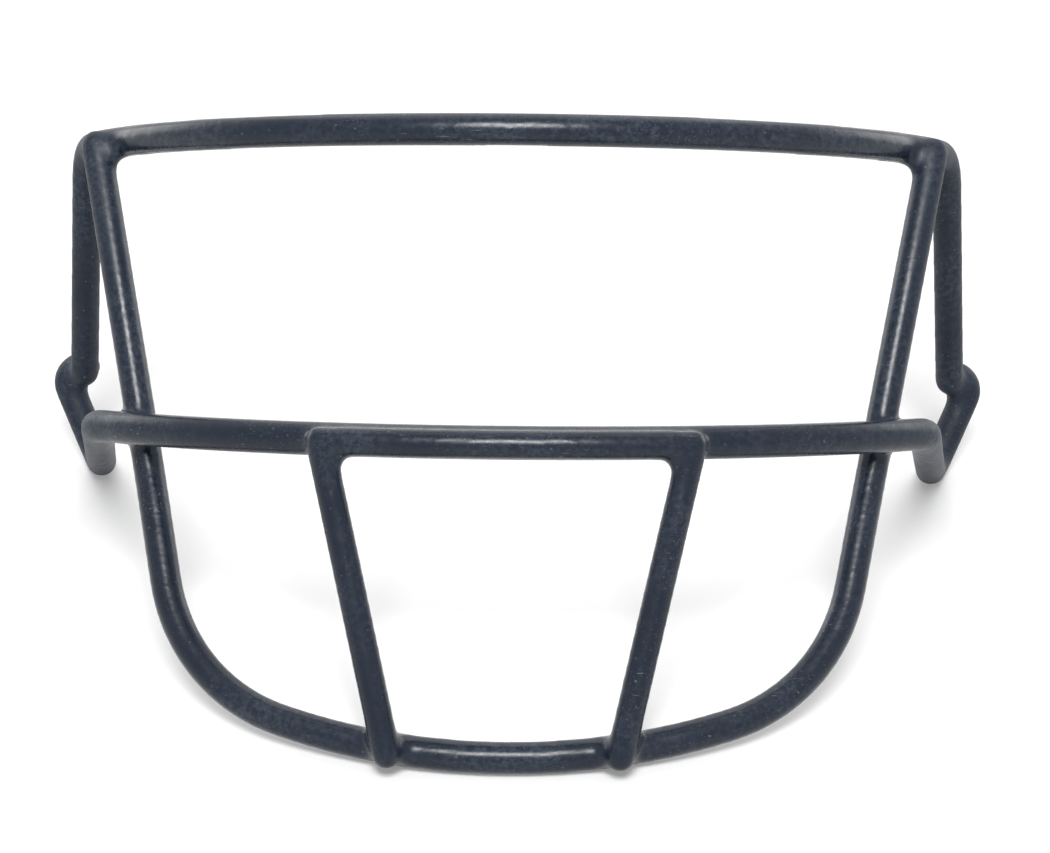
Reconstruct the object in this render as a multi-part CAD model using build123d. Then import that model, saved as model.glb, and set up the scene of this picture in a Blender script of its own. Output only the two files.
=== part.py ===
from build123d import *
import os
from math import asin, cos, radians, sin, sqrt, tan

# A football helmet facemask. Steel wires are bent, laid over each other, welded where they
# cross and then dipped together in soft vinyl. The wires are drawn with the middle bar level,
# as worn, and leaned back at the end until the mask stands on its chin bar and its side loops.
# X is the width, and the face is behind the bars, towards +Y. Left is -X, as seen from the front.

# Steel wires and the vinyl on them
UPPER_STEEL_D = 6.0
MIDDLE_STEEL_D = 6.35
JAW_STEEL_D = 6.0
GUARD_STEEL_D = 5.2
COAT_T = 0.5
WELD_SINK = 0.3
WELD_R = 2.5
GUARD_CLEARANCE = 0.2

# Upper wire: the brow bar, bowed round the shell, with a temple run at each end
BROW_R = 107.0
BROW_HALF_TURN = 67.7
BROW_SETBACK = 10.3
BROW_RISE = 66.1
BROW_LEAN = -2.0
BROW_CORNER_RUN = 9.5
BROW_BEND_SHARE = 0.81
TEMPLE_TIP_INSET = 7.1
TEMPLE_TIP_SETBACK = 119.5
TEMPLE_TIP_RISE = 8.4

# Middle wire: the middle bar, with a clip loop at each end
MIDDLE_R = 122.3
MIDDLE_HALF_TURN = 47.38
MIDDLE_CORNER_RUN = 5.0
MIDDLE_BEND_SHARE = 0.775
LOOP_TOP_HALF_W = 115.9
LOOP_STUB_RISE = 1.2
LOOP_STUB_LEAD = 0.4
LOOP_TOP_R = 3.9
LOOP_HEEL_INSET = 11.0
LOOP_HEEL_SETBACK = 122.0
LOOP_HEEL_DROP = 15.0
LOOP_HEEL_R = 7.0

# Jaw wire: the chin bar, with a rod up each side to the brow bar
CHIN_R = 114.5
CHIN_HALF_TURN = 24.51
CHIN_SETBACK = 0.4
CHIN_DROP = 67.1
CHIN_LEAN = 35.0
CHIN_CORNER_SHARE = 0.375
CHIN_BEND_SHARE = 0.96
KNEE_RUN = 10.0
KNEE_BEND_SHARE = 0.18
CHEEK_JOINT_INSET = 3.1
BROW_JOINT_INSET = 8.0
ROD_TOP_DROP = 1.0

# Centre guard: a short bar on the middle bar, and two legs down to the chin bar
GUARD_HALF_W = 37.5
FOOT_HALF_W = 24.7
FOOT_DROP = 0.6
LEG_TOP_LEAD = 1.0

# Standing the mask on a table
FIRST_LEAN = -23.0
LEAN_STEP = 1.0
LEAN_ROUNDS = 5

FRONT = Vector(0, -1, 0)
RIGHT = Vector(1, 0, 0)


def steel_r(steel_d):
    return steel_d / 2


def coat_r(steel_d):
    return steel_d / 2 + COAT_T


def weld_gap(one_d, other_d):
    """Distance between the middles of two wires that are welded across each other."""
    return (one_d + other_d) / 2 - WELD_SINK


def flip(point):
    return Vector(-point.X, point.Y, point.Z)


class Bow:
    """A bar bent to one radius. Its middle is at the front, and its ends go back at a lean."""

    def __init__(self, radius, half_turn, setback, rise, lean):
        self.radius = radius
        self.half_turn = radians(half_turn)
        self.half_w = radius * sin(self.half_turn)
        self.middle = Vector(0, setback, rise)
        self.back = Vector(0, cos(radians(lean)), sin(radians(lean)))

    def at(self, x, out=0):
        """The bar's middle line at x, or a place in front of it."""
        turn = asin(x / self.radius)
        radial = Vector(sin(turn), 0, 0) - self.back * cos(turn)
        return self.middle + self.back * self.radius + radial * (self.radius + out)

    def end(self):
        return self.at(self.half_w)

    def way(self):
        """The direction of the bar at its right end."""
        return Vector(cos(self.half_turn), 0, 0) + self.back * sin(self.half_turn)

    def run_on(self, length):
        """A place straight on from the bar's right end."""
        return self.end() + self.way() * length

    def line(self):
        return ThreePointArc(flip(self.end()), self.middle, self.end())


def inner_angle(before, corner, after):
    return radians((before - corner).get_angle(after - corner))


def bend_r(points, reach):
    """The radius of a bend that starts this far before its corner."""
    return reach * tan(inner_angle(*points) / 2)


def bent(points, radii):
    """A wire's middle line: straight from place to place, with a bend at each one between."""
    pieces, start = [], points[0]
    for before, corner, after, radius in zip(points, points[1:], points[2:], radii):
        half = inner_angle(before, corner, after) / 2
        back, ahead = (before - corner).normalized(), (after - corner).normalized()
        near, far = corner + back * (radius / tan(half)), corner + ahead * (radius / tan(half))
        crown = corner + (back + ahead).normalized() * (radius / sin(half) - radius)
        pieces += [Line(start, near), ThreePointArc(near, crown, far)]
        start = far
    return Wire([*pieces, Line(start, points[-1])])


def both(name, shape):
    return {name + "_right": shape, name + "_left": mirror(shape, about=Plane.YZ)}


def tube(path, radius):
    line = Wire(path.edges())
    return sweep(Plane(origin=line @ 0, z_dir=line % 0) * Circle(radius), path=line)


def ball(point, radius):
    return Pos(point) * Sphere(radius)


def carve(shape, tools):
    """The shape less each tool in turn."""
    for tool in tools:
        shape = shape - tool
    return shape


def whole(bow, side):
    """The full middle line of a wire: its left side, its bow and its right side."""
    return Wire([*mirror(side, about=Plane.YZ).edges(), *bow.edges(), *side.edges()])


def steel(path, diameter, tip):
    """A bent wire with both its ends rounded."""
    ends = [ball(tip, steel_r(diameter)), ball(flip(tip), steel_r(diameter))]
    return tube(path, steel_r(diameter)) + ends


def coat(path, diameter, tip):
    """The outside of the vinyl on a bar, rounded over its tip."""
    return tube(path, coat_r(diameter)) + ball(tip, coat_r(diameter))


def weld(front, back, back_d):
    """The bead between two wires, from the nearest points of their middle lines."""
    way = (front - back).normalized()
    spot = back + way * (steel_r(back_d) - WELD_SINK / 2)
    return Plane(origin=spot, z_dir=way) * Sphere(WELD_R)


def cut_in_turn(shapes, tools):
    """Cuts each shape by the ones before it."""
    done = {}
    for name, shape in shapes.items():
        done[name] = carve(shape, [*tools, *done.values()])
    return done


# Middle lines of the bars
brow = Bow(BROW_R, BROW_HALF_TURN, BROW_SETBACK, BROW_RISE, BROW_LEAN)
middle = Bow(MIDDLE_R, MIDDLE_HALF_TURN, 0, 0, 0)
chin = Bow(CHIN_R, CHIN_HALF_TURN, CHIN_SETBACK, -CHIN_DROP, CHIN_LEAN)

temple_tip = Vector(LOOP_TOP_HALF_W - TEMPLE_TIP_INSET, TEMPLE_TIP_SETBACK, TEMPLE_TIP_RISE)
temple_line = [brow.end(), brow.run_on(BROW_CORNER_RUN), temple_tip]
temple = bent(temple_line, [bend_r(temple_line, BROW_CORNER_RUN * BROW_BEND_SHARE)])

stub_gap = weld_gap(UPPER_STEEL_D, MIDDLE_STEEL_D)
stub_out = sqrt(stub_gap**2 - LOOP_STUB_RISE**2)
stub_seat = temple_tip + Vector(0, stub_out, LOOP_STUB_RISE)
loop_top = Vector(LOOP_TOP_HALF_W, stub_seat.Y, stub_seat.Z)
loop_heel = Vector(LOOP_TOP_HALF_W - LOOP_HEEL_INSET, LOOP_HEEL_SETBACK, -LOOP_HEEL_DROP)
top_angle = inner_angle(loop_heel, loop_top, loop_top - RIGHT)
stub_tip = loop_top - RIGHT * (LOOP_TOP_R / tan(top_angle / 2) + LOOP_STUB_LEAD)
loop_line = [middle.end(), middle.run_on(MIDDLE_CORNER_RUN), loop_heel, loop_top, stub_tip]
loop_r = bend_r(loop_line[:3], MIDDLE_CORNER_RUN * MIDDLE_BEND_SHARE)
loop = bent(loop_line, [loop_r, LOOP_HEEL_R, LOOP_TOP_R])

brow_joint = brow.half_w - BROW_JOINT_INSET
brow_seat = brow.at(brow_joint)
rod_on_brow = brow.at(brow_joint, weld_gap(UPPER_STEEL_D, JAW_STEEL_D))
rod_tip = rod_on_brow - Vector(0, 0, ROD_TOP_DROP)
cheek_joint = middle.half_w - CHEEK_JOINT_INSET
cheek_seat = middle.at(cheek_joint)
rod_on_cheek = middle.at(cheek_joint, -weld_gap(MIDDLE_STEEL_D, JAW_STEEL_D))
knee = rod_on_cheek + (rod_on_cheek - rod_tip).normalized() * KNEE_RUN
chin_run = (knee - chin.end()).length * CHIN_CORNER_SHARE
rod_line = [chin.end(), chin.run_on(chin_run), knee, rod_tip]
chin_corner_r = bend_r(rod_line[:3], chin_run * CHIN_BEND_SHARE)
rod = bent(rod_line, [chin_corner_r, bend_r(rod_line[1:], KNEE_RUN * KNEE_BEND_SHARE)])

guard_out = (MIDDLE_STEEL_D + GUARD_STEEL_D) / 2 + GUARD_CLEARANCE
guard_seat = middle.at(GUARD_HALF_W)
guard_corner = middle.at(GUARD_HALF_W, guard_out)
guard_line = ThreePointArc(flip(guard_corner), middle.at(0, guard_out), guard_corner)
foot_seat = chin.at(FOOT_HALF_W)
foot = foot_seat + FRONT * weld_gap(JAW_STEEL_D, GUARD_STEEL_D) - Vector(0, 0, FOOT_DROP)
leg_top = guard_corner + (foot - guard_corner).normalized() * LEG_TOP_LEAD
leg_line = Line(leg_top, foot)

# Each kind of piece is cut by those made before it, in this order: steel, welds, coat
leg = tube(leg_line, steel_r(GUARD_STEEL_D)) + ball(foot, steel_r(GUARD_STEEL_D))
wires = {
    "middle_wire": steel(whole(middle.line(), loop), MIDDLE_STEEL_D, stub_tip),
    "upper_wire": steel(whole(brow.line(), temple), UPPER_STEEL_D, temple_tip),
    "jaw_wire": steel(whole(chin.line(), rod), JAW_STEEL_D, rod_tip),
    "guard_bar_wire": steel(guard_line, GUARD_STEEL_D, guard_corner),
    **both("guard_leg_wire", leg),
}
welds = {
    **both("brow_weld", weld(rod_on_brow, brow_seat, UPPER_STEEL_D)),
    **both("cheek_weld", weld(cheek_seat, rod_on_cheek, JAW_STEEL_D)),
    **both("loop_weld", weld(temple_tip, stub_seat, MIDDLE_STEEL_D)),
    **both("guard_weld", weld(guard_corner, guard_seat, MIDDLE_STEEL_D)),
    **both("foot_weld", weld(foot, foot_seat, JAW_STEEL_D)),
}
coats = {
    "middle_bar_coat": tube(middle.line(), coat_r(MIDDLE_STEEL_D)),
    **both("loop_coat", coat(loop, MIDDLE_STEEL_D, stub_tip)),
    "brow_bar_coat": tube(brow.line(), coat_r(UPPER_STEEL_D)),
    **both("temple_coat", coat(temple, UPPER_STEEL_D, temple_tip)),
    "chin_bar_coat": tube(chin.line(), coat_r(JAW_STEEL_D)),
    **both("jaw_rod_coat", coat(rod, JAW_STEEL_D, rod_tip)),
    "guard_bar_coat": coat(guard_line, GUARD_STEEL_D, guard_corner)
    + ball(flip(guard_corner), coat_r(GUARD_STEEL_D)),
    **both("guard_leg_coat", coat(leg_line, GUARD_STEEL_D, foot)),
}

steel_pieces = cut_in_turn(wires, [])
weld_pieces = {name: carve(bead, steel_pieces.values()) for name, bead in welds.items()}
inside = [*steel_pieces.values(), *weld_pieces.values()]
coat_pieces = {}
earlier = []
for name, outer in coats.items():
    coat_pieces[name] = carve(outer, earlier + inside)
    earlier.append(outer)


def low_difference(lean):
    """How much higher the chin bar lies than the side loops at a lean."""
    tilt = Rot(lean, 0, 0)
    chin_low = (tilt * coats["chin_bar_coat"]).bounding_box().min.Z
    loop_low = (tilt * coats["loop_coat_right"]).bounding_box().min.Z
    return chin_low - loop_low


# The lean at which the chin bar and the loops touch the table together
lean, next_lean = FIRST_LEAN, FIRST_LEAN + LEAN_STEP
low, next_low = low_difference(lean), low_difference(next_lean)
for _ in range(LEAN_ROUNDS):
    slope = (next_low - low) / (next_lean - lean) if next_lean != lean else 0
    if slope == 0:
        break
    lean, low, next_lean = next_lean, next_low, next_lean - next_low / slope
    next_low = low_difference(next_lean)
lean = next_lean

box = (Rot(lean, 0, 0) * Compound(earlier)).bounding_box()
stand = Pos(0, -box.center().Y, -box.min.Z) * Rot(lean, 0, 0)
print("lean", lean, "size", box.size)

os.makedirs("parts", exist_ok=True)
for name, piece in {**steel_pieces, **weld_pieces, **coat_pieces}.items():
    print(name, len(piece.solids()), round(piece.volume, 1))
    export_step(stand * piece, f"parts/{name}.step")
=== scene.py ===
# %% [markdown]
# # A football facemask
#
# The real object is a cage of bent steel wires. They are laid over each other, welded where
# they cross, and dipped together in soft vinyl, so one dark skin covers every bar and fills
# the corners between them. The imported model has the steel, the weld beads and a plain coat on
# each bar. This lesson makes the one dipped skin that the eye sees, and its vinyl finish.
#
# The bars could be curves with a bevel, or circles swept along a path. Here each bar is a ring
# of points that travels: it is extruded where the wire is straight and spun where it is bent,
# as the wire itself goes through a bending machine. The bars are then fused into one skin.

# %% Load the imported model
from math import asin, cos, pi, radians, sin, sqrt, tan

import bmesh
import bpy
from mathutils import Matrix, Vector


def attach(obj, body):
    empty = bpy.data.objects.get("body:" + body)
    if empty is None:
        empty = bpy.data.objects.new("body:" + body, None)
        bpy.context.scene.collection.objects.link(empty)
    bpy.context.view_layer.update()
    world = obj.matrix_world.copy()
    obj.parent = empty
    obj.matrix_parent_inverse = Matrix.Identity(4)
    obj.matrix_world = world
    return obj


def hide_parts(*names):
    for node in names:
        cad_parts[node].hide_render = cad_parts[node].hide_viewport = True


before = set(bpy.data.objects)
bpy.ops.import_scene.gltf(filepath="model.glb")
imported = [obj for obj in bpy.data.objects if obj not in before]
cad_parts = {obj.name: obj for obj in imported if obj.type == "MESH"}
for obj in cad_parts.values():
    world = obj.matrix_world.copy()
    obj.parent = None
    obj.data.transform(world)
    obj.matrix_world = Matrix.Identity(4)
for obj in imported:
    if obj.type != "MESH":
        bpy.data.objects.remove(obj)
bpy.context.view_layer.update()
print("packed nodes:", len(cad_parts))

# %% [markdown]
# ## The thickness of the wires
#
# These are the sizes of the real mask in millimetres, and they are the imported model's own. The
# middle bar lies level here, with the middle of its front at the origin. X is the width, and
# the face is towards +Y. Working in millimetres keeps the numbers readable; a later step turns
# them into metres and leans the mask back as it stands on a table. The thickness of each wire
# comes first, because it decides how far apart two welded wires lie.

# %% Wires, vinyl and welds, in millimetres
UPPER_STEEL_D = 6.0
MIDDLE_STEEL_D = 6.35
JAW_STEEL_D = 6.0
GUARD_STEEL_D = 5.2
COAT_T = 0.5
WELD_SINK = 0.3


def coat_r(steel_d):
    return steel_d / 2 + COAT_T


def weld_gap(one_d, other_d):
    """Distance between the middles of two wires that are welded across each other."""
    return (one_d + other_d) / 2 - WELD_SINK


print("coat radii, mm:", coat_r(MIDDLE_STEEL_D), coat_r(UPPER_STEEL_D), coat_r(GUARD_STEEL_D))

# %% [markdown]
# ## A bow
#
# The brow bar, the middle bar and the chin bar are each bent to one radius, like a slice of a
# big hoop. A bow knows its hoop's radius, where its middle is, and how far its plane leans. It
# can say where the bar is at any distance from the middle, and where it would run on to from
# its end. The joints need no more than that.


# %% The three bows
class Bow:
    def __init__(self, radius, half_turn, setback, rise, lean):
        self.radius = radius
        self.half_turn = radians(half_turn)
        self.half_w = radius * sin(self.half_turn)
        self.middle = Vector((0, setback, rise))
        self.back = Vector((0, cos(radians(lean)), sin(radians(lean))))

    def at(self, x, out=0):
        """The bar's middle line at x, or a place in front of it."""
        turn = asin(x / self.radius)
        radial = Vector((sin(turn), 0, 0)) - self.back * cos(turn)
        return self.middle + self.back * self.radius + radial * (self.radius + out)

    def run_on(self, length):
        """A place straight on from the bar's right end."""
        way = Vector((cos(self.half_turn), 0, 0)) + self.back * sin(self.half_turn)
        return self.at(self.half_w) + way * length


brow = Bow(radius=107.0, half_turn=67.7, setback=10.3, rise=66.1, lean=-2.0)
middle = Bow(radius=122.3, half_turn=47.38, setback=0, rise=0, lean=0)
chin = Bow(radius=114.5, half_turn=24.51, setback=0.4, rise=-67.1, lean=35.0)
for name, bow in (("brow", brow), ("middle", middle), ("chin", chin)):
    print(f"{name} bar: {2 * bow.half_w:.1f} mm wide, ends at {bow.at(bow.half_w)}")

# %% [markdown]
# ## Where the bars meet
#
# Welded wires touch; they don't share their middle lines. So each joint has two places, one on
# each wire, and they are a wire's width apart less the little that the weld sinks.
#
# The brow bar runs on into the temple runs, and the middle bar into the loops. A loop goes back
# to its heel, up to its top, and ends in a short stub behind the end of the temple run.

# %% The temple runs and the loops
X_WAY = Vector((1, 0, 0))
LOOP_TOP_HALF_W = 115.9
TEMPLE_TIP_INSET, TEMPLE_TIP_SETBACK, TEMPLE_TIP_RISE = 7.1, 119.5, 8.4
LOOP_HEEL_INSET, LOOP_HEEL_SETBACK, LOOP_HEEL_DROP = 11.0, 122.0, 15.0
LOOP_STUB_RISE, LOOP_STUB_LEAD = 1.2, 0.4
LOOP_HEEL_R, LOOP_TOP_R = 7.0, 3.9
BROW_CORNER_RUN, BROW_BEND_SHARE = 9.5, 0.81
MIDDLE_CORNER_RUN, MIDDLE_BEND_SHARE = 5.0, 0.775


def from_loop_top(inset, setback, rise):
    """A place that keeps its distance from the loops' top when their width changes."""
    return Vector((LOOP_TOP_HALF_W - inset, setback, rise))


def inner_angle(before, corner, after):
    """The angle between the two runs that meet at a corner."""
    return (before - corner).angle(after - corner)


def bend_r(before, corner, after, reach):
    """The radius of a bend that starts this far before its corner."""
    return reach * tan(inner_angle(before, corner, after) / 2)


temple_tip = from_loop_top(TEMPLE_TIP_INSET, TEMPLE_TIP_SETBACK, TEMPLE_TIP_RISE)
temple_corner = brow.run_on(BROW_CORNER_RUN)
temple_r = bend_r(brow.run_on(0), temple_corner, temple_tip, BROW_CORNER_RUN * BROW_BEND_SHARE)

loop_heel = from_loop_top(LOOP_HEEL_INSET, LOOP_HEEL_SETBACK, -LOOP_HEEL_DROP)
stub_gap = weld_gap(UPPER_STEEL_D, MIDDLE_STEEL_D)
stub_y = temple_tip.y + sqrt(stub_gap**2 - LOOP_STUB_RISE**2)
loop_top = Vector((LOOP_TOP_HALF_W, stub_y, temple_tip.z + LOOP_STUB_RISE))
top_reach = LOOP_TOP_R / tan(inner_angle(loop_heel, loop_top, loop_top - X_WAY) / 2)
stub_tip = loop_top - X_WAY * (top_reach + LOOP_STUB_LEAD)
loop_corner = middle.run_on(MIDDLE_CORNER_RUN)
loop_r = bend_r(middle.run_on(0), loop_corner, loop_heel, MIDDLE_CORNER_RUN * MIDDLE_BEND_SHARE)
print("temple tip", temple_tip, "loop heel", loop_heel, "loop top", loop_top)

# %% [markdown]
# The chin bar runs on into the two jaw rods. A rod goes up to a knee, passes behind the middle
# bar, and ends in front of the brow bar.

# %% The jaw rods
CHEEK_JOINT_INSET, BROW_JOINT_INSET = 3.1, 8.0
ROD_TOP_DROP = 1.0
KNEE_RUN, KNEE_BEND_SHARE = 10.0, 0.18
CHIN_CORNER_SHARE, CHIN_BEND_SHARE = 0.375, 0.96

rod_tip = brow.at(brow.half_w - BROW_JOINT_INSET, weld_gap(UPPER_STEEL_D, JAW_STEEL_D))
rod_tip.z -= ROD_TOP_DROP
cheek = middle.at(middle.half_w - CHEEK_JOINT_INSET, -weld_gap(MIDDLE_STEEL_D, JAW_STEEL_D))
knee = cheek + (cheek - rod_tip).normalized() * KNEE_RUN
chin_run = (knee - chin.run_on(0)).length * CHIN_CORNER_SHARE
chin_corner = chin.run_on(chin_run)
chin_r = bend_r(chin.run_on(0), chin_corner, knee, chin_run * CHIN_BEND_SHARE)
knee_r = bend_r(chin_corner, knee, rod_tip, KNEE_RUN * KNEE_BEND_SHARE)
print("rod tip", rod_tip, "knee", knee, "chin corner", chin_corner)

# %% [markdown]
# ## A ring that travels
#
# Each bar starts as one circle from create_circle. A straight run extrudes the ring's edges and
# moves them on, and a bend spins them about the middle of the bend. At a corner the run stops
# early, so that the spin of the wanted radius joins both runs smoothly, which is how a bent
# wire looks. A tip gets a sphere, because vinyl always rounds over a cut end.

# %% The travelling ring
Z_WAY = Vector((0, 0, 1))
SIDES = 32
BEND_STEP = radians(3)
FEWEST_STEPS = 2


class Traveller:
    """A ring of points that draws a bar as it travels."""

    def __init__(self, bm, place, way, radius, capped=False):
        self.bm, self.place, self.way, self.radius = bm, place.copy(), way.normalized(), radius
        turn = Z_WAY.rotation_difference(self.way).to_matrix().to_4x4()
        ring = bmesh.ops.create_circle(
            bm, cap_ends=capped, segments=SIDES, radius=radius,
            matrix=Matrix.Translation(place) @ turn,
        )["verts"]
        self.ring = self.edges_of(ring)

    def edges_of(self, points):
        """The edges that join these points, each of them once."""
        inside = set(points)
        edges = dict.fromkeys(edge for point in points for edge in point.link_edges)
        return [edge for edge in edges if inside.issuperset(edge.verts)]

    def run(self, length):
        """Straight on, in one step."""
        new = bmesh.ops.extrude_edge_only(self.bm, edges=self.ring)["geom"]
        points = [g for g in new if isinstance(g, bmesh.types.BMVert)]
        bmesh.ops.translate(self.bm, verts=points, vec=self.way * length)
        self.ring = self.edges_of(points)
        self.place += self.way * length

    def bend(self, hub, axis, angle):
        """Round a bend, in small even steps."""
        steps = max(FEWEST_STEPS, round(angle / BEND_STEP))
        last = bmesh.ops.spin(
            self.bm, geom=self.ring, cent=hub, axis=axis, angle=angle, steps=steps,
            use_duplicate=False,
        )["geom_last"]
        self.ring = self.edges_of([g for g in last if isinstance(g, bmesh.types.BMVert)])
        turn = Matrix.Rotation(angle, 3, axis)
        self.place = hub + turn @ (self.place - hub)
        self.way = turn @ self.way

    def go_round(self, bow, half_turn):
        """Round a bow from its middle to the right."""
        self.bend(bow.middle + bow.back * bow.radius, X_WAY.cross(bow.back), half_turn)

    def follow(self, corners, radii, tip):
        """Runs to each corner, bends there to its radius, and ends at the tip."""
        for corner, following, radius in zip(corners, [*corners[1:], tip], radii):
            ahead = (following - corner).normalized()
            angle = self.way.angle(ahead)
            side = (ahead - self.way * cos(angle)).normalized()
            self.run((corner - self.place).length - radius * tan(angle / 2))
            self.bend(self.place + side * radius, self.way.cross(ahead).normalized(), angle)
        self.run((tip - self.place).length)

    def round_off(self):
        """Closes the bar with a rounded tip."""
        bmesh.ops.holes_fill(self.bm, edges=self.ring)
        self.ball(self.place)

    def ball(self, place):
        bmesh.ops.create_uvsphere(
            self.bm, u_segments=SIDES, v_segments=SIDES // 2, radius=self.radius,
            matrix=Matrix.Translation(place),
        )


print(SIDES, "sides on a ring,", round(2 * pi / BEND_STEP), "steps in a full turn")

# %% [markdown]
# ## Webs in the corners
#
# Liquid vinyl pulls into the corners where bars are welded and leaves a soft web there. The
# usual way to get such a web is to bevel the crossing, but round bars that pass beside each
# other share no edge to bevel. So every bar is first drawn too thick by the web's radius. The
# thick bars are fused, and the fused skin is then drawn in by the same amount. Straight bars
# come back to their own size, and only the corners keep the web.

# %% The bars, each drawn too thick by the web
WEB = 1.8


def thick_r(steel_d):
    return coat_r(steel_d) + WEB


def half_bar(bm, bow, steel_d, corners, radii, tip):
    """The right half of a bar, from the middle of its bow to its tip."""
    bar = Traveller(bm, bow.middle, X_WAY, thick_r(steel_d))
    bar.go_round(bow, bow.half_turn)
    bar.follow(corners, radii, tip)
    bar.round_off()


def upper_bar(bm):
    half_bar(bm, brow, UPPER_STEEL_D, [temple_corner], [temple_r], temple_tip)


def middle_bar(bm):
    corners = [loop_corner, loop_heel, loop_top]
    half_bar(bm, middle, MIDDLE_STEEL_D, corners, [loop_r, LOOP_HEEL_R, LOOP_TOP_R], stub_tip)


def jaw_bar(bm):
    half_bar(bm, chin, JAW_STEEL_D, [chin_corner, knee], [chin_r, knee_r], rod_tip)


print("thick radii, mm:", thick_r(MIDDLE_STEEL_D), thick_r(UPPER_STEEL_D), thick_r(GUARD_STEEL_D))

# %% [markdown]
# ## The centre guard
#
# The guard is a short bar in front of the middle bar, bowed with it, and two straight legs down
# to the front of the chin bar. It is made of thinner wire, and its corners are welded, not
# bent. The bar's end and the leg's end are two separate domes with a small dip between them, so
# the bar stops short of the corner by a little and the leg starts afresh there.

# %% Guard bar and leg
GUARD_HALF_W, GUARD_BAR_SHORT = 37.5, 3.6
GUARD_CLEARANCE = 0.2
GUARD_OUT = (MIDDLE_STEEL_D + GUARD_STEEL_D) / 2 + GUARD_CLEARANCE
FOOT_HALF_W, FOOT_DROP = 24.7, 0.6

guard_corner = middle.at(GUARD_HALF_W, GUARD_OUT)
foot = chin.at(FOOT_HALF_W) - Vector((0, weld_gap(JAW_STEEL_D, GUARD_STEEL_D), FOOT_DROP))


def guard_bar(bm):
    bar = Traveller(bm, middle.at(0, GUARD_OUT), X_WAY, thick_r(GUARD_STEEL_D))
    bar.go_round(middle, asin((GUARD_HALF_W - GUARD_BAR_SHORT) / middle.radius))
    bar.round_off()


def guard_leg(bm):
    down = foot - guard_corner
    bar = Traveller(bm, guard_corner, down, thick_r(GUARD_STEEL_D), capped=True)
    bar.ball(guard_corner)
    bar.run(down.length)
    bar.round_off()


print("guard corner", guard_corner, "foot", foot)

# %% [markdown]
# ## Mirror and fuse
#
# The mask is the same on both sides, so the right half is mirrored to make the left one, and
# their middle rings are merged. A boolean could join the bars, but it leaves thin slivers where
# round bars just touch. A voxel remesh makes one even skin instead and drops whatever is inside
# it. Each remesh is followed by smoothing, which takes out the voxels' steps. The smoothing
# makes the bars a little thinner, so they are drawn in by a little less than the web.

# %% Helpers for a fused skin
FINE_VOXEL = 0.5
SMOOTHING, FIRST_ROUNDS = 0.5, 12
SMOOTHING_LOSS = 0.10
MERGE_DISTANCE = 0.01


def in_scene(name, data):
    """A new object with this data, linked to the scene."""
    made = bpy.data.objects.new(name, data)
    bpy.context.scene.collection.objects.link(made)
    return made


def mesh_of(bm, name):
    """The drawn shape as a mesh."""
    mesh = bpy.data.meshes.new(name)
    bm.to_mesh(mesh)
    bm.free()
    return mesh


def modified(source, name, kind, **settings):
    """A new mesh: the source with one modifier applied."""
    holder = in_scene(name, source)
    modifier = holder.modifiers.new(name, kind)
    for key, value in settings.items():
        setattr(modifier, key, value)
    bpy.context.view_layer.update()
    made = bpy.data.meshes.new_from_object(
        holder.evaluated_get(bpy.context.evaluated_depsgraph_get())
    )
    bpy.data.objects.remove(holder)
    return made


def remeshed(source, voxel, rounds):
    """The outside of the source as one even, smooth skin."""
    made = modified(source, "fuse", "REMESH", mode="VOXEL", voxel_size=voxel, use_smooth_shade=True)
    return modified(made, "settle", "SMOOTH", factor=SMOOTHING, iterations=rounds)


def webbed(*drawings):
    """One skin of several bars, with a web wherever two of them meet."""
    bm = bmesh.new()
    for draw in drawings:
        draw(bm)
    everything = [*bm.verts, *bm.edges, *bm.faces]
    bmesh.ops.mirror(bm, geom=everything, axis="X", merge_dist=MERGE_DISTANCE)
    bmesh.ops.recalc_face_normals(bm, faces=bm.faces)
    fused = remeshed(mesh_of(bm, "thick_bars"), FINE_VOXEL, FIRST_ROUNDS)
    return modified(fused, "draw_in", "DISPLACE", strength=SMOOTHING_LOSS - WEB, mid_level=0)


print("the skin is drawn in by", WEB - SMOOTHING_LOSS, "mm")

# %% [markdown]
# The rods pass behind the middle bar with hardly any vinyl between them, so those bars must not
# share a web. They are drawn in two groups, and only the finished skins are joined. A bar that
# is in both groups lies in the same place twice, and the last remesh makes one skin of the two.

# %% One skin of both groups
LAST_VOXEL, LAST_ROUNDS = 0.68, 16

both = bmesh.new()
both.from_mesh(webbed(upper_bar, jaw_bar, guard_leg))
both.from_mesh(webbed(upper_bar, middle_bar, guard_bar, guard_leg))
skin = remeshed(mesh_of(both, "joined_skins"), LAST_VOXEL, LAST_ROUNDS)
skin.name = "dipped_coat"
triangles = sum(len(face.vertices) - 2 for face in skin.polygons)
print("skin:", len(skin.vertices), "points,", triangles, "triangles")

# %% [markdown]
# ## Into metres, and onto the table
#
# The mask stands on its chin bar and its two side loops, leaned back. The whole skin is turned
# and moved once, in its mesh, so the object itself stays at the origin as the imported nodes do.

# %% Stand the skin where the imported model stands
LEAN = radians(-24.268504)
STAND_Y, STAND_Z = -44.5297, 64.8347
MM = 0.001
stand = (
    Matrix.Scale(MM, 4)
    @ Matrix.Translation((0, STAND_Y, STAND_Z))
    @ Matrix.Rotation(LEAN, 4, "X")
)
skin.transform(stand)
skin.shade_smooth()
dipped_coat = in_scene("dipped_coat", skin)

COAT_NODES = [
    "brow_bar_coat", "middle_bar_coat", "chin_bar_coat", "guard_bar_coat",
    "temple_coat_left", "temple_coat_right", "loop_coat_left", "loop_coat_right",
    "jaw_rod_coat_left", "jaw_rod_coat_right", "guard_leg_coat_left", "guard_leg_coat_right",
]
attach(dipped_coat, "root")
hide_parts(*COAT_NODES)
low = [min(v.co[axis] for v in skin.vertices) for axis in range(3)]
high = [max(v.co[axis] for v in skin.vertices) for axis in range(3)]
print("skin box:", low, high)

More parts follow.
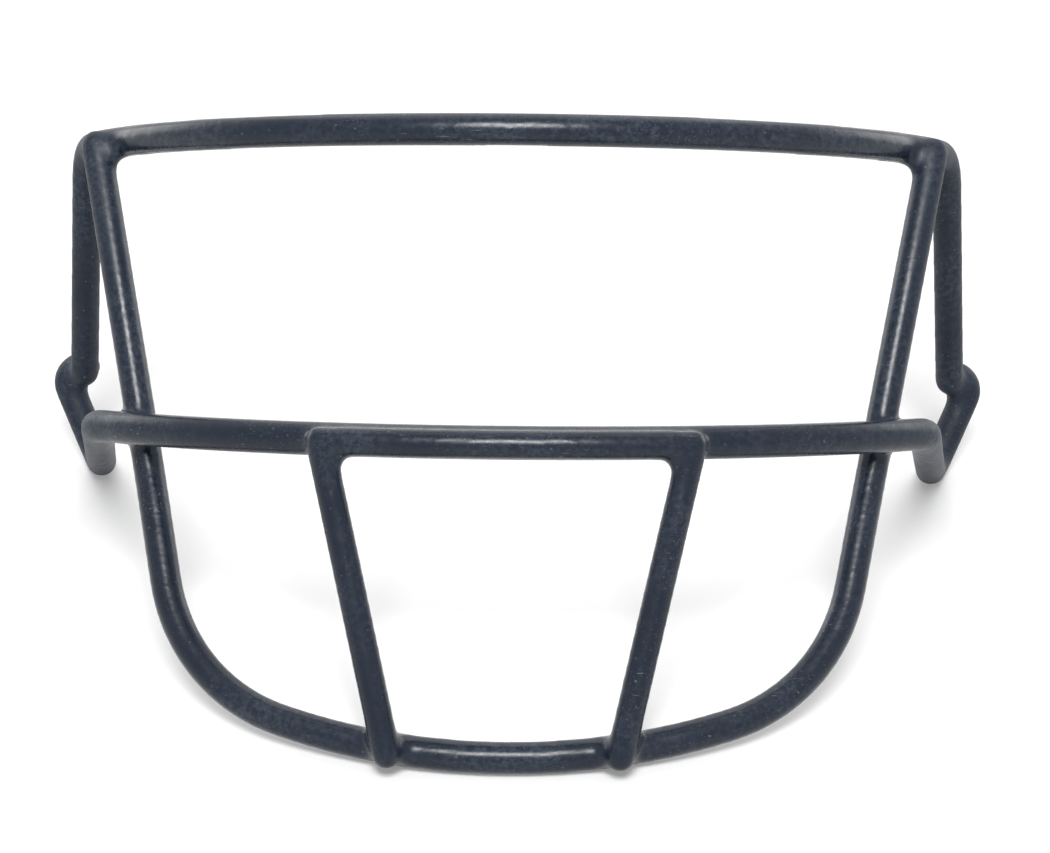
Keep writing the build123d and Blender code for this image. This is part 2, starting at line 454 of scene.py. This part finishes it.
# %% [markdown]
# ## Small helpers for the finishes
#
# A finish here is a chain of small nodes. Each helper adds one node, links it and gives back
# its result, so that a line of code reads like a line of the recipe.

# %% Helpers for the finishes
MIX_SHARE, MIX_ONE, MIX_OTHER, MIX_RESULT = 0, 6, 7, 2


def new_material(name):
    """A new material, with its nodes and its shader."""
    made = bpy.data.materials.new(name)
    made.use_nodes = True
    return made, made.node_tree, made.node_tree.nodes["Principled BSDF"]


def object_place(tree):
    """Where a point lies on the object, from every side the same."""
    return tree.nodes.new("ShaderNodeTexCoord").outputs["Object"]


def node(tree, kind, **inputs):
    """A new node with these inputs, where _ stands for a space."""
    made = tree.nodes.new(kind)
    for key, value in inputs.items():
        made.inputs[key.replace("_", " ")].default_value = value
    return made


def noise_on(tree, coordinates, scale, detail=2, roughness=0.5):
    """A cloudy pattern. A higher scale makes it finer."""
    made = node(tree, "ShaderNodeTexNoise", Scale=scale, Detail=detail, Roughness=roughness)
    tree.links.new(coordinates, made.inputs["Vector"])
    return made.outputs["Fac"]


def ramp(tree, source, low, high, to_low=0.0, to_high=1.0):
    """A straight slope from to_low to to_high as the source goes from low to high."""
    made = tree.nodes.new("ShaderNodeMapRange")
    for socket, value in zip(made.inputs[1:5], (low, high, to_low, to_high)):
        socket.default_value = value
    tree.links.new(source, made.inputs[0])
    return made.outputs[0]


def mix_colours(tree, share, one, other):
    """A mix of two colours, where a share of 0 gives the first one."""
    made = tree.nodes.new("ShaderNodeMix")
    made.data_type = "RGBA"
    tree.links.new(share, made.inputs[MIX_SHARE])
    for socket, value in ((made.inputs[MIX_ONE], one), (made.inputs[MIX_OTHER], other)):
        if isinstance(value, tuple):
            socket.default_value = value
        else:
            tree.links.new(value, socket)
    return made.outputs[MIX_RESULT]


vinyl, tree, shader = new_material("navy_vinyl")
print("new material:", vinyl.name)

# %% [markdown]
# ## Dark vinyl
#
# The coat is soft vinyl in a blue so dark that it is nearly black. Its colour isn't one flat
# value. Dust makes it a little greyer in patches, so a slow noise mixes two colours, and a fine
# noise breaks the patches up. A painted image could do the same, but noise needs no unwrapping
# and has no seams. All the patterns read Object coordinates, so they stay on the mask from
# every side.

# %% The colour of the vinyl
DEEP_NAVY = (0.0035, 0.0088, 0.020, 1)
DUSTY_NAVY = (0.030, 0.043, 0.064, 1)
SCRATCH_GREY = (0.10, 0.11, 0.125, 1)

place = object_place(tree)
dust = ramp(tree, noise_on(tree, place, scale=45, detail=3), low=0.38, high=0.66)
fine_noise = noise_on(tree, place, scale=800, detail=4, roughness=0.7)
mottle = ramp(tree, fine_noise, low=0.42, high=0.66)
dusty_areas = mix_colours(tree, dust, DEEP_NAVY, DUSTY_NAVY)
body_colour = mix_colours(tree, mottle, DEEP_NAVY, dusty_areas)
print("vinyl colour nodes:", len(tree.nodes))

# %% [markdown]
# Handling has left fine light scratches. They are a noise stretched into short streaks, and a
# slow noise keeps them to a few worn areas. A few tiny flecks show where the skin was nicked.

# %% Scratches and flecks
ALONG, ALONG_SHORTER, ACROSS = 190, 260, 3200
worn_areas = ramp(tree, noise_on(tree, place, scale=55), low=0.47, high=0.6)


def combine(tree, kind, one, other):
    """The product, sum or larger one of two values."""
    made = tree.nodes.new("ShaderNodeMath")
    made.operation = kind
    tree.links.new(one, made.inputs[0])
    tree.links.new(other, made.inputs[1])
    return made.outputs[0]


def scratches(turn, stretch):
    """Thin streaks that all run one way, kept to the worn areas."""
    mapping = node(tree, "ShaderNodeMapping", Rotation=turn, Scale=stretch)
    tree.links.new(place, mapping.inputs["Vector"])
    streaks = ramp(tree, noise_on(tree, mapping.outputs["Vector"], scale=1), low=0.66, high=0.73)
    return combine(tree, "MULTIPLY", worn_areas, streaks)


marks = [
    scratches(turn=(0.4, 0.2, 0.7), stretch=(ALONG, ACROSS, ACROSS)),
    scratches(turn=(-0.5, 0.6, -0.9), stretch=(ACROSS, ALONG_SHORTER, ACROSS)),
    ramp(tree, noise_on(tree, place, scale=1000, detail=1), low=0.74, high=0.8),
]
for mark in marks:
    body_colour = mix_colours(tree, mark, body_colour, SCRATCH_GREY)
tree.links.new(body_colour, shader.inputs["Base Color"])
print("with the marks:", len(tree.nodes), "nodes")

# %% [markdown]
# Each bar has one narrow highlight that breaks up a little. The coat has shallow waves from
# dipping and fine dimples from age, and bump gives both, because they are too shallow to need
# geometry. A film of dust makes the reflections weaker than those of clean plastic. It also
# makes the surface paler where it turns away from the eye, and sheen gives just that. The
# temple runs and the loops are rubbed matt by use, so the roughness rises at both sides.

# %% Gloss, dimples and sheen
SIDE_START, SIDE_END = 0.088, 0.097
SIDE_MATT = 0.3
WAVE_DEPTH, DIMPLE_DEPTH = 0.00010, 0.00002
SPECULAR, SHEEN, SHEEN_ROUGHNESS = 0.32, 0.04, 0.35


def bump(tree, height, distance, strength=1.0, on=None):
    """Dents and rises of this depth in metres, where needed on top of other ones."""
    made = node(tree, "ShaderNodeBump", Distance=distance, Strength=strength)
    tree.links.new(height, made.inputs["Height"])
    if on:
        tree.links.new(on, made.inputs["Normal"])
    return made.outputs["Normal"]


uneven = noise_on(tree, place, scale=500, detail=3)
roughness = ramp(tree, uneven, low=0.3, high=0.7, to_low=0.21, to_high=0.34)
across = tree.nodes.new("ShaderNodeSeparateXYZ")
tree.links.new(place, across.inputs[0])
side = combine(tree, "MULTIPLY", across.outputs["X"], across.outputs["X"])
matt = ramp(tree, side, low=SIDE_START**2, high=SIDE_END**2, to_high=SIDE_MATT)
roughness = combine(tree, "ADD", roughness, matt)
tree.links.new(roughness, shader.inputs["Roughness"])
shader.inputs["Specular IOR Level"].default_value = SPECULAR
shader.inputs["Sheen Weight"].default_value = SHEEN
shader.inputs["Sheen Roughness"].default_value = SHEEN_ROUGHNESS
waves = bump(tree, noise_on(tree, place, scale=110), WAVE_DEPTH)
dimples = bump(tree, noise_on(tree, place, scale=900), DIMPLE_DEPTH, on=waves)
tree.links.new(dimples, shader.inputs["Normal"])
dipped_coat.data.materials.append(vinyl)
print("vinyl nodes:", len(tree.nodes))

# %% [markdown]
# ## Steel and weld beads
#
# The wires and welds are inside the coat, and only a torn coat would show them. They are packed
# nodes that stay where they are, and both kinds still get a metal finish: drawn wire has fine
# grey variation, and a weld bead is rougher and browner from its heat.

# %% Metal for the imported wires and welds
GRAIN_DEPTH, GRAIN_STRENGTH = 0.0001, 0.4


def metal(name, dark, light, scale, smooth, rough):
    """Bare steel whose grain mixes two greys and goes from smooth to rough."""
    made, tree, shader = new_material(name)
    shader.inputs["Metallic"].default_value = 1.0
    grain = noise_on(tree, object_place(tree), scale, detail=5)
    tree.links.new(mix_colours(tree, grain, dark, light), shader.inputs["Base Color"])
    roughness = ramp(tree, grain, low=0.3, high=0.7, to_low=smooth, to_high=rough)
    tree.links.new(roughness, shader.inputs["Roughness"])
    tree.links.new(bump(tree, grain, GRAIN_DEPTH, GRAIN_STRENGTH), shader.inputs["Normal"])
    return made


drawn_steel = metal(
    "drawn_steel", dark=(0.32, 0.33, 0.34, 1), light=(0.5, 0.5, 0.5, 1),
    scale=300, smooth=0.28, rough=0.45,
)
weld_steel = metal(
    "weld_steel", dark=(0.2, 0.17, 0.15, 1), light=(0.42, 0.38, 0.34, 1),
    scale=700, smooth=0.45, rough=0.65,
)
for name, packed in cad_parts.items():
    if name in COAT_NODES:
        continue
    packed.data.materials.clear()
    packed.data.materials.append(weld_steel if "weld" in name else drawn_steel)
print("metal on", len(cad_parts) - len(COAT_NODES), "packed nodes")

# %% [markdown]
# ## White paper
#
# The mask was photographed on plain white paper, and a big pale plane looks the same. More
# light would make it white, but it would also wash out the dark vinyl. So the paper gets a
# little glow that only the camera and reflections see. It keeps the mask's shadow, and it is
# stronger far away, where the lamps don't reach.

# %% Floor
FLOOR_HALF = 6.0
WHITE, PAPER_WHITE = (1, 1, 1, 1), (0.8, 0.8, 0.8, 1)
PAPER_ROUGHNESS = 0.9
NEAR_GLOW, FAR_GLOW = 0.2, 0.72
NEAR, FAR = 0.25, 0.9
LOOKS = ("Is Camera Ray", "Is Glossy Ray", "Is Transmission Ray")


def looked_at(tree):
    """1 where the camera or a reflection looks, 0 where a surface gathers light."""
    path = tree.nodes.new("ShaderNodeLightPath")
    total = path.outputs[LOOKS[0]]
    for name in LOOKS[1:]:
        total = combine(tree, "MAXIMUM", total, path.outputs[name])
    return total


floor_bm = bmesh.new()
bmesh.ops.create_grid(floor_bm, x_segments=2, y_segments=2, size=FLOOR_HALF)
floor = in_scene("paper_floor", mesh_of(floor_bm, "paper_floor"))

paper, tree, shader = new_material("white_paper")
shader.inputs["Base Color"].default_value = PAPER_WHITE
shader.inputs["Roughness"].default_value = PAPER_ROUGHNESS
shader.inputs["Emission Color"].default_value = WHITE
distance = tree.nodes.new("ShaderNodeVectorMath")
distance.operation = "LENGTH"
tree.links.new(object_place(tree), distance.inputs[0])
glow = ramp(tree, distance.outputs["Value"], NEAR, FAR, to_low=NEAR_GLOW, to_high=FAR_GLOW)
glow = combine(tree, "MULTIPLY", glow, looked_at(tree))
tree.links.new(glow, shader.inputs["Emission Strength"])
floor.data.materials.append(paper)
print("the floor is", 2 * FLOOR_HALF, "m wide")

# %% [markdown]
# ## The room
#
# The room is white where the camera or a reflection looks at it, as the backdrop of a studio
# is. As a light it is dimmer, so that the lamps can still shape the bars.

# %% World
ROOM_LIGHT, ROOM_WHITE = 0.38, 1.0

world = bpy.data.worlds.new("white_room")
world.use_nodes = True
bpy.context.scene.world = world
room = world.node_tree
background = room.nodes["Background"]
background.inputs["Color"].default_value = WHITE
strength = ramp(room, looked_at(room), low=0, high=1, to_low=ROOM_LIGHT, to_high=ROOM_WHITE)
room.links.new(strength, background.inputs["Strength"])
print("the room's light is", ROOM_LIGHT)

# %% [markdown]
# ## Soft lamps
#
# The photograph has one narrow, bright highlight along the upper front of every bar, so a lamp
# stood above the camera. A square lamp there makes it, and its light is held in a cone, so that
# it doesn't wash over the paper. A big lamp behind and two panels at the sides light the paper
# and the rims softly.

# %% Lamps
MASK_MIDDLE = Vector((0, 0, 0.06))


def soft_lamp(name, place, size, power, spread=180):
    """A square lamp that faces the mask, with its light held in a cone if the spread is small."""
    lamp = bpy.data.lights.new(name, "AREA")
    lamp.shape, lamp.size, lamp.energy, lamp.spread = "SQUARE", size, power, radians(spread)
    holder = in_scene(name, lamp)
    holder.location = place
    holder.rotation_euler = (MASK_MIDDLE - Vector(place)).to_track_quat("-Z", "Y").to_euler()


soft_lamp("front_lamp", place=(0.0, -0.74, 1.0), size=0.42, power=3.4, spread=90)
soft_lamp("back_lamp", place=(0.0, 1.0, 1.3), size=1.6, power=7)
for side in (-1, 1):
    soft_lamp(f"side_panel_{side}", place=(side * 1.1, 0.9, 0.3), size=0.8, power=4)

# %% [markdown]
# ## Camera
#
# The photograph was taken from in front and above, close enough for the near bars to look a
# little bigger. The camera's place and turn were worked out from where the bars' ends and
# corners lie in the picture.

# %% Camera
SENSOR_W, LENS = 36, 98.85
CAMERA_PLACE = Vector((0.01201, -0.57904, 0.35233))
RIGHT = Vector((0.99986, 0.01656, 0.00274))
UP = Vector((-0.01018, 0.46850, 0.88340))
BACKWARDS = Vector((0.01335, -0.88331, 0.46860))

camera_data = bpy.data.cameras.new("photo_camera")
camera_data.sensor_width, camera_data.lens = SENSOR_W, LENS
camera = in_scene("photo_camera", camera_data)
turn = Matrix((RIGHT, UP, BACKWARDS)).transposed().to_4x4()
camera.matrix_world = Matrix.Translation(CAMERA_PLACE) @ turn
bpy.context.scene.camera = camera
bpy.context.scene.view_settings.view_transform = "Standard"
print("camera", camera.matrix_world.translation, camera_data.lens, "mm")
